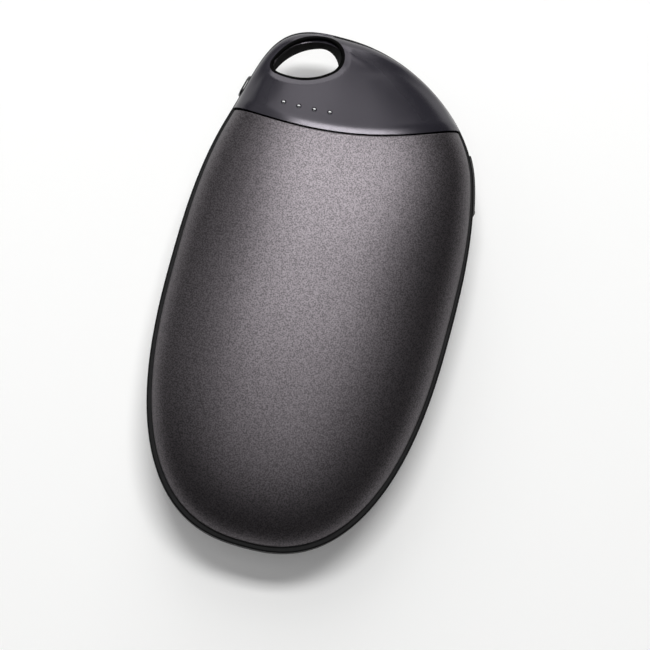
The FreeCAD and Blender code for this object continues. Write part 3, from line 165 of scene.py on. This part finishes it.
def gloss_moulding(name, hex_low, hex_high, roughness, flow_mm, specular=0.5, tint="#ffffff"):
    """Plastic with a polished face, moulded or as film: clean gloss with a very slight orange peel."""
    material = new_material(name)
    place = add(material, "ShaderNodeTexCoord").outputs["Object"]
    flow = add(material, "ShaderNodeTexNoise",
               {"Scale": per_mm(flow_mm), "Detail": 2.0, "Roughness": 0.5}, Vector=place)
    tone = add(material, "ShaderNodeValToRGB", Fac=flow.outputs["Fac"])
    tone.color_ramp.elements[0].color = linear(hex_low)
    tone.color_ramp.elements[1].color = linear(hex_high)
    haze = add(material, "ShaderNodeTexNoise",
               {"Scale": per_mm(1.4), "Detail": 4.0, "Roughness": 0.6}, Vector=place)
    rough = add(material, "ShaderNodeMapRange",
                {"From Min": 0.4, "From Max": 0.6, "To Min": roughness * 0.96,
                 "To Max": roughness * 1.04}, Value=haze.outputs["Fac"])
    peel = add(material, "ShaderNodeBump", {"Strength": 0.1, "Distance": 0.04 * MM},
               Height=haze.outputs["Fac"])
    shader = add(material, "ShaderNodeBsdfPrincipled",
                 {"IOR": 1.5, "Specular IOR Level": specular, "Specular Tint": linear(tint)},
                 Base_Color=tone.outputs["Color"], Roughness=rough.outputs["Result"],
                 Normal=peel.outputs["Normal"])
    add(material, "ShaderNodeOutputMaterial", Surface=shader.outputs[0])
    return material


def fine_moulding(name, hex_low, hex_high, roughness, grain_mm, specular=0.5):
    """Moulded, cast or coated face with a fine grain: matte, slightly uneven in tone."""
    material = new_material(name)
    place = add(material, "ShaderNodeTexCoord").outputs["Object"]
    grain = add(material, "ShaderNodeTexNoise",
                {"Scale": per_mm(grain_mm), "Detail": 4.0, "Roughness": 0.65}, Vector=place)
    tone = add(material, "ShaderNodeValToRGB", Fac=grain.outputs["Fac"])
    tone.color_ramp.elements[0].position = 0.35
    tone.color_ramp.elements[0].color = linear(hex_low)
    tone.color_ramp.elements[1].position = 0.65
    tone.color_ramp.elements[1].color = linear(hex_high)
    rough = add(material, "ShaderNodeMapRange",
                {"From Min": 0.3, "From Max": 0.7, "To Min": roughness - 0.06,
                 "To Max": roughness + 0.06}, Value=grain.outputs["Fac"])
    texture = add(material, "ShaderNodeBump", {"Strength": 0.3, "Distance": 0.05 * MM},
                  Height=grain.outputs["Fac"])
    shader = add(material, "ShaderNodeBsdfPrincipled",
                 {"IOR": 1.5, "Specular IOR Level": specular},
                 Base_Color=tone.outputs["Color"], Roughness=rough.outputs["Result"],
                 Normal=texture.outputs["Normal"])
    add(material, "ShaderNodeOutputMaterial", Surface=shader.outputs[0])
    return material


def drawn_metal(name, hex_low, hex_high, roughness, line_mm):
    """Rolled or drawn metal, bare or plated: fine lines along the length, slightly uneven polish."""
    material = new_material(name)
    place = add(material, "ShaderNodeTexCoord").outputs["Object"]
    stretch = add(material, "ShaderNodeMapping", {"Scale": (1.0, 0.06, 1.0)}, Vector=place)
    lines = add(material, "ShaderNodeTexNoise",
                {"Scale": per_mm(line_mm), "Detail": 3.0, "Roughness": 0.6},
                Vector=stretch.outputs["Vector"])
    tone = add(material, "ShaderNodeValToRGB", Fac=lines.outputs["Fac"])
    tone.color_ramp.elements[0].position = 0.3
    tone.color_ramp.elements[0].color = linear(hex_low)
    tone.color_ramp.elements[1].position = 0.7
    tone.color_ramp.elements[1].color = linear(hex_high)
    rough = add(material, "ShaderNodeMapRange",
                {"From Min": 0.3, "From Max": 0.7, "To Min": roughness - 0.05,
                 "To Max": roughness + 0.08}, Value=lines.outputs["Fac"])
    shader = add(material, "ShaderNodeBsdfPrincipled", {"Metallic": 1.0},
                 Base_Color=tone.outputs["Color"], Roughness=rough.outputs["Result"])
    add(material, "ShaderNodeOutputMaterial", Surface=shader.outputs[0])
    return material


# Outside: satin metal shells, a head that mirrors softly, and a dull black band between them.
# The head's reflections carry a faint violet tint that stands in for the colour of its surroundings:
# painted reflection colour.
head_abs = gloss_moulding("satin_polished_abs", "#1d1c22", "#222127", roughness=0.26, flow_mm=18.0,
                          tint="#fbf4ff")
band_abs = gloss_moulding("black_band_abs", "#040405", "#070708", roughness=0.5, flow_mm=12.0,
                          specular=0.12)
dress(blasted_anodised_aluminium(), "front_shell", "rear_shell")
dress(head_abs, "front_cap", "rear_cap")
dress(band_abs, "mid_frame")
# The polished button catches a light on its edge; the rubber cover and gaskets stay matte.
dress(gloss_moulding("button_abs", "#0c0c0e", "#121214", roughness=0.22, flow_mm=6.0), "power_button")
dress(fine_moulding("cover_silicone", "#0d0d0e", "#141416", roughness=0.5, grain_mm=0.35, specular=0.3),
      "port_cover")
dress(fine_moulding("gasket_silicone", "#060606", "#0c0c0c", roughness=0.6, grain_mm=0.3),
      "front_gasket", "rear_gasket")
# The eye's lining is so dull that it reads as plain black; the windows are dark with a sharp glint.
eye_elastomer = fine_moulding("eye_elastomer", "#030303", "#060606", roughness=0.85, grain_mm=0.3,
                              specular=0.05)
# The light pipes are coloured dark grey, not the clear plastic that the part records for them.
window_acrylic = gloss_moulding("dark_grey_acrylic", "#26262a", "#2c2c31", roughness=0.06, flow_mm=3.0)
dress(window_acrylic, "light_guide")
# Socket and fasteners: bright drawn steel round a black tongue, gold contacts, blackened screws.
dress(drawn_metal("drawn_socket_steel", "#a6a6a8", "#c4c4c6", roughness=0.28, line_mm=0.2),
      "socket_shell")
dress(fine_moulding("socket_lcp", "#161616", "#222222", roughness=0.5, grain_mm=0.2), "socket_tongue")
dress(drawn_metal("gold_flash", "#b8913c", "#d9b35c", roughness=0.25, line_mm=0.15), "socket_contacts")
dress(drawn_metal("blackened_screw_steel", "#3a3a3c", "#58585a", roughness=0.34, line_mm=0.15),
      "case_screws", "cradle_screws", "cover_hinge_pin")
# Electronics: a satin green board with dull black, grey and tan parts and pale lamps.
dress(fine_moulding("green_solder_mask", "#0c2c17", "#123a1f", roughness=0.4, grain_mm=0.5),
      "main_board")
dress(fine_moulding("chip_epoxy", "#1a1a1c", "#242427", roughness=0.5, grain_mm=0.15),
      "controller_chips")
dress(fine_moulding("ferrite", "#3a3a3c", "#4a4a4d", roughness=0.6, grain_mm=0.2), "boost_inductor")
dress(fine_moulding("capacitor_ceramic", "#8a7152", "#a38964", roughness=0.4, grain_mm=0.3),
      "capacitors")
dress(fine_moulding("lamp_resin", "#d6d3c4", "#e8e6da", roughness=0.3, grain_mm=0.4),
      "indicator_lamps")
dress(fine_moulding("switch_nylon", "#232323", "#2e2e2e", roughness=0.55, grain_mm=0.3),
      "switch_body", "switch_plunger")
# Power: nickel cans in glossy blue sleeves, satin nickel links and a matte cradle.
dress(drawn_metal("nickel_plated_can", "#9d9d9d", "#b9b9b8", roughness=0.3, line_mm=0.25),
      "cell_left", "cell_right")
dress(gloss_moulding("shrink_sleeve", "#16335f", "#1d4075", roughness=0.3, flow_mm=5.0),
      "cell_sleeves")
dress(drawn_metal("nickel_strip", "#a09e98", "#bab7b0", roughness=0.32, line_mm=0.2),
      "positive_link", "negative_link")
dress(fine_moulding("cradle_abs", "#2c2c2d", "#38383a", roughness=0.55, grain_mm=0.4), "cell_cradle")
# Heat and wiring: glossy amber films, satin silicone leads in three colours, black sensor beads.
dress(gloss_moulding("amber_film", "#9a5a1c", "#b06a24", roughness=0.35, flow_mm=3.0),
      "front_heater_film", "rear_heater_film")
dress(fine_moulding("red_lead_silicone", "#8e1414", "#a31c1c", roughness=0.45, grain_mm=0.4),
      "positive_lead")
dress(fine_moulding("black_lead_silicone", "#151515", "#1f1f1f", roughness=0.45, grain_mm=0.4),
      "negative_lead")
dress(fine_moulding("white_lead_silicone", "#cfcec8", "#dedcd6", roughness=0.45, grain_mm=0.4),
      "front_heater_leads", "rear_heater_leads")
dress(gloss_moulding("sensor_epoxy", "#17171a", "#212124", roughness=0.3, flow_mm=1.0),
      "front_thermistor", "rear_thermistor")


def lamp_spots():
    """Plan places of the light windows."""
    radius = SEAM_RADIUS - LAMP_FROM_SEAM
    spots = []
    for index in range(LAMP_COUNT):
        turn = (LAMP_ROW_SHIFT + (index - (LAMP_COUNT - 1) / 2) * LAMP_PITCH) / radius
        spots.append(SEAM_CENTRE + radius * Vector((math.sin(turn), -math.cos(turn))))
    return spots


def centre_line(share):
    """X of the middle of the plan: the head leans left."""
    begin = LEAN_START / HALF_LENGTH
    lean = max(0.0, (share - begin) / (1 - begin))
    return -HEAD_LEAN * lean ** 2


def form_height(spot):
    """Height of the pebble's surface over its middle plane, zero outside its outline."""
    share = spot.y / HALF_LENGTH
    taper = 1 - abs(share) ** OUTLINE_POWER
    if taper <= 0:
        return 0.0
    narrow = taper ** (1 / OUTLINE_POWER)
    across = abs(spot.x - centre_line(share)) / (HALF_WIDTH * narrow)
    if across >= 1:
        return 0.0
    headward = max(0.0, share)
    blend = headward * headward * (3 - 2 * headward)
    power = SECTION_POWER + blend * (HEAD_SECTION_POWER - SECTION_POWER)
    return HALF_THICKNESS * narrow * (1 - across ** power) ** (1 / power)


def eye_pivots():
    """Middles of the two wider arcs of the eye."""
    away = EYE_NARROW - EYE_WIDE
    forward = away.normalized()
    from_wide = EYE_SIDE_RADIUS - EYE_WIDE_RADIUS
    from_narrow = EYE_SIDE_RADIUS - EYE_NARROW_RADIUS
    along = (from_wide ** 2 - from_narrow ** 2 + away.length ** 2) / (2 * away.length)
    across = math.sqrt(from_wide ** 2 - along ** 2)
    sideways = Vector((-forward.y, forward.x))
    return [EYE_WIDE + forward * along + sideways * across * side for side in (1, -1)]


EYE_PIVOTS = eye_pivots()


def turn_from(first, second):
    """More than zero where the second way lies to the left of the first."""
    return first.x * second.y - first.y * second.x


def eye_distance(spot):
    """Distance outside the eye's wall, less than zero inside the opening."""
    away = EYE_NARROW - EYE_WIDE
    for pivot in EYE_PIVOTS:
        to_wide = EYE_WIDE - pivot
        to_narrow = EYE_NARROW - pivot
        way = spot - pivot
        sense = turn_from(to_wide, to_narrow)
        in_sector = turn_from(to_wide, way) * sense > 0 and turn_from(way, to_narrow) * sense > 0
        across = turn_from(away, spot - EYE_WIDE) * turn_from(away, pivot - EYE_WIDE) < 0
        if in_sector and across:
            return way.length - EYE_SIDE_RADIUS
    return min((spot - EYE_WIDE).length - EYE_WIDE_RADIUS,
               (spot - EYE_NARROW).length - EYE_NARROW_RADIUS)


# How the head's face departs from the pebble: a shallow facet that starts softly behind a flat strip
# and fades near the band, an edge that drops at the seam, a dished rim round the eye, two low creases.
FACET_DEPTH = 1.15
FACET_RUN = 12.5
FACET_RETURN = 8.5
FACET_CURVE = 2.4
FACET_FADE = 4.0
SEAM_FLAT = 0.9
SEAM_TURN = 1.6
EDGE_BAND = 1.6
EDGE_SLOPE = 0.1
DISH_WIDTH = 1.9
DISH_SLOPE = 0.3
DISH_SOFTNESS = 0.16
DISH_FADE_START = 5.2
DISH_FADE = 3.2
CREASE_WIDTH = 0.9
RIGHT_CREASE = (Vector((-5.4, 52.3)), Vector((5.5, 48.6)))
RIGHT_CREASE_RISE = 0.16
RIGHT_CREASE_FADE = 1.5
LEFT_CREASE = (Vector((-22.0, 43.0)), Vector((-22.2, 34.0)))
LEFT_CREASE_RISE = 0.08


def soft_step(value):
    """From 0 to 1 with a level start and end."""
    value = min(1.0, max(0.0, value))
    return value * value * (3 - 2 * value)


def crease_line(spot, begin, end):
    """Share along a straight crease and a bell-shaped weight that falls off beside it."""
    run = end - begin
    share = min(1.0, max(0.0, (spot - begin).dot(run) / run.length_squared))
    beside = (spot - begin - run * share).length
    return share, math.exp(-(beside / CREASE_WIDTH) ** 2)


def cap_height(spot):
    """Height of the head's face over the middle plane."""
    height = form_height(spot)
    inside_seam = max(0.0, CAP_SEAM_RADIUS - (spot - SEAM_CENTRE).length)
    turned = min(1.0, max(0.0, (inside_seam - SEAM_FLAT) / SEAM_TURN))
    rolled = SEAM_TURN * (turned ** 3 - turned ** 4 / 2)
    rolled += max(0.0, inside_seam - SEAM_FLAT - SEAM_TURN)
    facet = 1 - max(0.0, 1 - rolled / FACET_RUN) ** FACET_CURVE
    facet *= FACET_DEPTH * (1 - soft_step((rolled - FACET_RUN) / FACET_RETURN))
    facet *= soft_step((height - CAP_BASE) / FACET_FADE)
    edge_drop = EDGE_SLOPE * EDGE_BAND / 2 * max(0.0, 1 - inside_seam / EDGE_BAND) ** 2
    inward = DISH_WIDTH - eye_distance(spot)
    ramp = (math.sqrt(inward ** 2 + DISH_SOFTNESS ** 2) + inward) / 2
    dish = DISH_SLOPE * ramp * soft_step((height - DISH_FADE_START) / DISH_FADE)
    share, weight = crease_line(spot, *RIGHT_CREASE)
    right_crease = RIGHT_CREASE_RISE * weight * (1 - share) ** RIGHT_CREASE_FADE
    share, weight = crease_line(spot, *LEFT_CREASE)
    left_crease = LEFT_CREASE_RISE * weight * math.sin(math.pi * share)
    return height - facet - edge_drop - dish + right_crease + left_crease


def at_face(spot):
    """Place on the head's face over a plan spot."""
    return Vector((spot.x, spot.y, MIDDLE + cap_height(spot)))


# Rays from the eye's heart: how many, how far they are followed and how exactly they are measured.
RAYS = 360
RAY_REACH = 90.0
RAY_TOLERANCE = 1e-5


def eye_rays():
    """Plan directions from the eye's heart, evenly spread."""
    turns = [2 * math.pi * index / RAYS for index in range(RAYS)]
    return [Vector((math.cos(turn), math.sin(turn))) for turn in turns]


def reach_along(way, beyond):
    """How far from the eye's heart a ray goes before the test turns true."""
    near = 0.0
    far = RAY_REACH
    while far - near > RAY_TOLERANCE:
        middle = (near + far) / 2
        if beyond(EYE_HEART + way * middle):
            far = middle
        else:
            near = middle
    return near


def ring_shape(rings):
    """A closed loop drawn out ring by ring; each ring holds one place for each ray."""
    shape = bmesh.new()
    ray = shape.verts.layers.int.new("ray")
    made = bmesh.ops.create_circle(shape, cap_ends=False, segments=len(rings[0]), radius=1.0)
    for index, vert in enumerate(made["verts"]):
        vert[ray] = index
        vert.co = rings[0][index]
    edges = shape.edges[:]
    for ring in rings[1:]:
        made = bmesh.ops.extrude_edge_only(shape, edges=edges)
        fresh = {item for item in made["geom"] if isinstance(item, bmesh.types.BMVert)}
        edges = [item for item in made["geom"] if isinstance(item, bmesh.types.BMEdge)
                 and item.verts[0] in fresh and item.verts[1] in fresh]
        for vert in fresh:
            vert.co = ring[vert[ray]]
    return shape


def add_piece(name, shape, material, body):
    """Turn a shape in millimetres into a smooth piece that rides on a body."""
    bmesh.ops.scale(shape, vec=(MM, MM, MM), verts=shape.verts[:])
    mesh = bpy.data.meshes.new(name)
    shape.to_mesh(mesh)
    shape.free()
    mesh.materials.append(material)
    mesh.shade_smooth()
    piece = bpy.data.objects.new(name, mesh)
    bpy.context.scene.collection.objects.link(piece)
    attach(piece, body)
    return piece


def soften_edges(piece, width_mm):
    """A small rounded edge that catches the light."""
    bevel = piece.modifiers.new("soft_edges", "BEVEL")
    bevel.width = width_mm * MM
    bevel.segments = 3
    bevel.limit_method = "ANGLE"
    bevel.angle_limit = math.radians(40)
    bevel.harden_normals = True


# Rings of the head's face, closer together at the eye and at the seam, and the head's wall.
DISH_RINGS = 18
DISH_REACH = 3.4
DISH_SHARE = 0.4
FACE_RINGS = 32
FACE_CROWDING = 1.6
EYE_LEDGE = 0.3
CAP_WALL = 1.3
CAP_EDGE = 0.12
# Faces this near a window's middle make way for it, and the gap's rim lies within the second distance.
WINDOW_CLEARING = 1.0
WINDOW_SURROUND = 2.55


def pierce_windows(shape):
    """Open a round hole for each light window and join it to the face round it."""
    for spot in lamp_spots():
        inside = [face for face in shape.faces
                  if (face.calc_center_median().xy - spot).length < WINDOW_CLEARING]
        bmesh.ops.delete(shape, geom=inside, context="FACES")
        ragged = [edge for edge in shape.edges if edge.is_boundary
                  and (edge.verts[0].co.xy - spot).length < WINDOW_SURROUND]
        made = bmesh.ops.create_circle(shape, cap_ends=False, segments=WINDOW_SEGMENTS,
                                       radius=WINDOW_RADIUS)
        for vert in made["verts"]:
            vert.co = at_face(vert.co.xy + spot)
        circle = {edge for vert in made["verts"] for edge in vert.link_edges}
        bmesh.ops.bridge_loops(shape, edges=ragged + list(circle))


def make_head_cap(material):
    """Front half of the head, with its dished eye and rolled seam edge."""
    rays = eye_rays()
    starts = [reach_along(way, lambda spot: eye_distance(spot) > EYE_LEDGE) for way in rays]
    ends = [reach_along(way, lambda spot: form_height(spot) < CAP_BASE
                        or (spot - SEAM_CENTRE).length > CAP_SEAM_RADIUS) for way in rays]
    wall = []
    for way, start in zip(rays, starts):
        spot = EYE_HEART + way * start
        wall.append(Vector((spot.x, spot.y, MIDDLE + CAP_BASE)))
    rings = [wall]
    for step in range(DISH_RINGS + FACE_RINGS + 1):
        ring = []
        for way, start, end in zip(rays, starts, ends):
            room = end - start
            dish = min(DISH_REACH, DISH_SHARE * room)
            if step <= DISH_RINGS:
                along = dish * step / DISH_RINGS
            else:
                share = (step - DISH_RINGS) / FACE_RINGS
                along = dish + (room - dish) * (1 - (1 - share) ** FACE_CROWDING)
            ring.append(at_face(EYE_HEART + way * (start + along)))
        rings.append(ring)
    shape = ring_shape(rings)
    pierce_windows(shape)
    bmesh.ops.recalc_face_normals(shape, faces=shape.faces[:])
    piece = add_piece("head_cap", shape, material, "case")
    wall_thickness = piece.modifiers.new("wall", "SOLIDIFY")
    wall_thickness.thickness = CAP_WALL * MM
    wall_thickness.offset = -1.0
    soften_edges(piece, CAP_EDGE)
    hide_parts("front_cap")


# The lip of the eye's lining, and the share that it may take of the room beside the eye.
LIP_WIDTH = 0.8
LIP_ROOM = 0.5
# Across the lip, and behind it inside the head: distance from the eye's wall as a share of the lip's
# width, and height over the face.
LIP_PROFILE = [(1.0, -0.2), (1.0, 0.0), (0.93, 0.05), (0.8, 0.08), (0.6, 0.07), (0.42, 0.02),
               (0.24, -0.06), (0.1, -0.17), (0.02, -0.3), (-0.03, -0.45), (-0.05, -0.9)]
LINING_BACK = [(0.3, -0.7), (0.04, -2.0)]


def make_eye_bush(material):
    """Black lining of the eye, lipped at the front and the rear."""
    rays = eye_rays()
    walls = [reach_along(way, lambda spot: eye_distance(spot) > 0) for way in rays]
    sides = [reach_along(way, lambda spot: form_height(spot) < CAP_BASE) for way in rays]

    def ring(offset_share, rise, front):
        places = []
        for way, wall, side in zip(rays, walls, sides):
            lip = min(LIP_WIDTH, LIP_ROOM * (side - wall))
            spot = EYE_HEART + way * (wall + lip * offset_share)
            height = cap_height(spot) + rise if front else -form_height(spot) - rise
            places.append(Vector((spot.x, spot.y, MIDDLE + height)))
        return places

    rings = [ring(*place, front=True) for place in LIP_PROFILE]
    rings += [ring(*place, front=False) for place in reversed(LIP_PROFILE)]
    rings += [ring(*place, front=False) for place in LINING_BACK]
    rings += [ring(*place, front=True) for place in reversed(LINING_BACK)]
    shape = ring_shape(rings)
    ends = [edge for edge in shape.edges if edge.is_boundary]
    bmesh.ops.bridge_loops(shape, edges=ends)
    bmesh.ops.recalc_face_normals(shape, faces=shape.faces[:])
    add_piece("eye_bush", shape, material, "case")


# Half section of a light pipe: radius, and height over its domed tip.
PIPE_LENGTH = 6.0
PIPE_PROFILE = [(0.0, 0.0), (0.14, -0.004), (0.28, -0.015), (0.4, -0.033), (0.48, -0.06),
                (0.5, -0.12), (0.5, -PIPE_LENGTH), (0.0, -PIPE_LENGTH)]
PIPE_RECESS = 0.1
MERGE_DISTANCE = 1e-4
SHARP_DEGREES = 50


def make_lamp_windows(material):
    """Light pipes with gently domed tips, a little below the face."""
    shape = bmesh.new()
    for spot in lamp_spots():
        top = MIDDLE + cap_height(spot) - PIPE_RECESS
        verts = [shape.verts.new((spot.x + radius, spot.y, top + rise))
                 for radius, rise in PIPE_PROFILE]
        edges = [shape.edges.new(pair) for pair in zip(verts, verts[1:])]
        bmesh.ops.spin(shape, geom=verts + edges, cent=(spot.x, spot.y, top), axis=(0, 0, 1),
                       angle=2 * math.pi, steps=WINDOW_SEGMENTS, use_merge=True)
    bmesh.ops.remove_doubles(shape, verts=shape.verts[:], dist=MERGE_DISTANCE)
    bmesh.ops.recalc_face_normals(shape, faces=shape.faces[:])
    piece = add_piece("lamp_windows", shape, material, "case")
    piece.data.set_sharp_from_angle(angle=math.radians(SHARP_DEGREES))
    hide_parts("light_guide")


# How far the floor reaches each way, in metres, and how much it is lifted towards white.
FLOOR_REACH = 3.0
FLOOR_LIFT = 0.12


def pale_floor_paper():
    """Matt pale paper: lifted a little for the camera and in reflections, with the object's shadow."""
    material = new_material("pale_floor")
    links = material.node_tree.links
    path = add(material, "ShaderNodeLightPath")
    seen = path.outputs["Is Camera Ray"]
    for kind in ("Is Glossy Ray", "Is Transmission Ray"):
        either = add(material, "ShaderNodeMath", {"operation": "MAXIMUM"})
        links.new(seen, either.inputs[0])
        links.new(path.outputs[kind], either.inputs[1])
        seen = either.outputs[0]
    lift = add(material, "ShaderNodeMath", {"operation": "MULTIPLY"})
    lift.inputs[1].default_value = FLOOR_LIFT
    links.new(seen, lift.inputs[0])
    paper = add(material, "ShaderNodeBsdfPrincipled",
                {"Base Color": linear("#ececeb"), "Roughness": 0.9, "Emission Color": (1, 1, 1, 1)},
                Emission_Strength=lift.outputs[0])
    add(material, "ShaderNodeOutputMaterial", Surface=paper.outputs[0])
    return material


def make_floor():
    """Plain pale floor under the object."""
    mesh = bpy.data.meshes.new("floor")
    shape = bmesh.new()
    bmesh.ops.create_grid(shape, x_segments=2, y_segments=2, size=FLOOR_REACH)
    shape.to_mesh(mesh)
    shape.free()
    mesh.materials.append(pale_floor_paper())
    floor = bpy.data.objects.new("floor", mesh)
    bpy.context.scene.collection.objects.link(floor)


OBJECT_MIDDLE = Vector((0, 0, MIDDLE * MM))
AMBIENT = (0.04, 0.04, 0.041, 1.0)


def softbox(name, toward, distance, width, height, power):
    """Area lamp, in metres and watts, on a line from the object's middle and facing it."""
    lamp = bpy.data.lights.new(name, "AREA")
    lamp.shape = "RECTANGLE"
    lamp.size = width
    lamp.size_y = height
    lamp.energy = power
    item = bpy.data.objects.new(name, lamp)
    bpy.context.scene.collection.objects.link(item)
    way = Vector(toward).normalized()
    item.location = OBJECT_MIDDLE + way * distance
    item.rotation_euler = way.to_track_quat("Z", "Y").to_euler()
    item.visible_camera = False


def make_light():
    """A wide key that the head's seam edge mirrors, weak fills for the shell and the head, dim air."""
    softbox("key", (-0.05, 0.35, 0.93), distance=1.4, width=0.64, height=0.25, power=13.1)
    softbox("front_fill", (0.0, -0.1, 1.0), distance=1.4, width=0.7, height=0.7, power=2.7)
    softbox("face_fill", (-0.22, 0.67, 0.74), distance=0.9, width=0.42, height=0.45, power=1.5)
    softbox("crown_fill", (-0.24, 0.97, 0.26), distance=0.9, width=0.55, height=0.45, power=2.5)
    softbox("left_fill", (-0.88, 0.32, 0.68), distance=0.8, width=0.8, height=0.6, power=0.7)
    world = bpy.data.worlds.new("studio")
    world.use_nodes = True
    background = world.node_tree.nodes["Background"]
    background.inputs["Color"].default_value = AMBIENT
    background.inputs["Strength"].default_value = 1.0
    bpy.context.scene.world = world


# The camera's distance is in metres, and its aim in millimetres from the object's middle.
CAMERA_TILT = math.radians(8.0)
CAMERA_ROLL = math.radians(15.0)
CAMERA_DISTANCE = 0.55
AIM_RIGHT = 3.0
AIM_DOWN = 6.4


def make_camera():
    """Seen from the front, a little from below the middle, with the head leaning to the right."""
    back = Vector((0, -math.sin(CAMERA_TILT), math.cos(CAMERA_TILT)))
    up = Vector((-math.sin(CAMERA_ROLL), math.cos(CAMERA_ROLL), 0))
    right = up.cross(back).normalized()
    up = back.cross(right)
    centre = OBJECT_MIDDLE + right * (AIM_RIGHT * MM) - up * (AIM_DOWN * MM)
    camera = bpy.data.cameras.new("camera")
    camera.lens = 141.7
    camera.sensor_width = 36.0
    item = bpy.data.objects.new("camera", camera)
    bpy.context.scene.collection.objects.link(item)
    turn = Matrix((right, up, back)).transposed().to_4x4()
    item.matrix_world = Matrix.Translation(centre + back * CAMERA_DISTANCE) @ turn
    bpy.context.scene.camera = item


make_head_cap(head_abs)
make_eye_bush(eye_elastomer)
make_lamp_windows(window_acrylic)
make_floor()
make_light()
make_camera()
bpy.context.scene.view_settings.view_transform = "Standard"
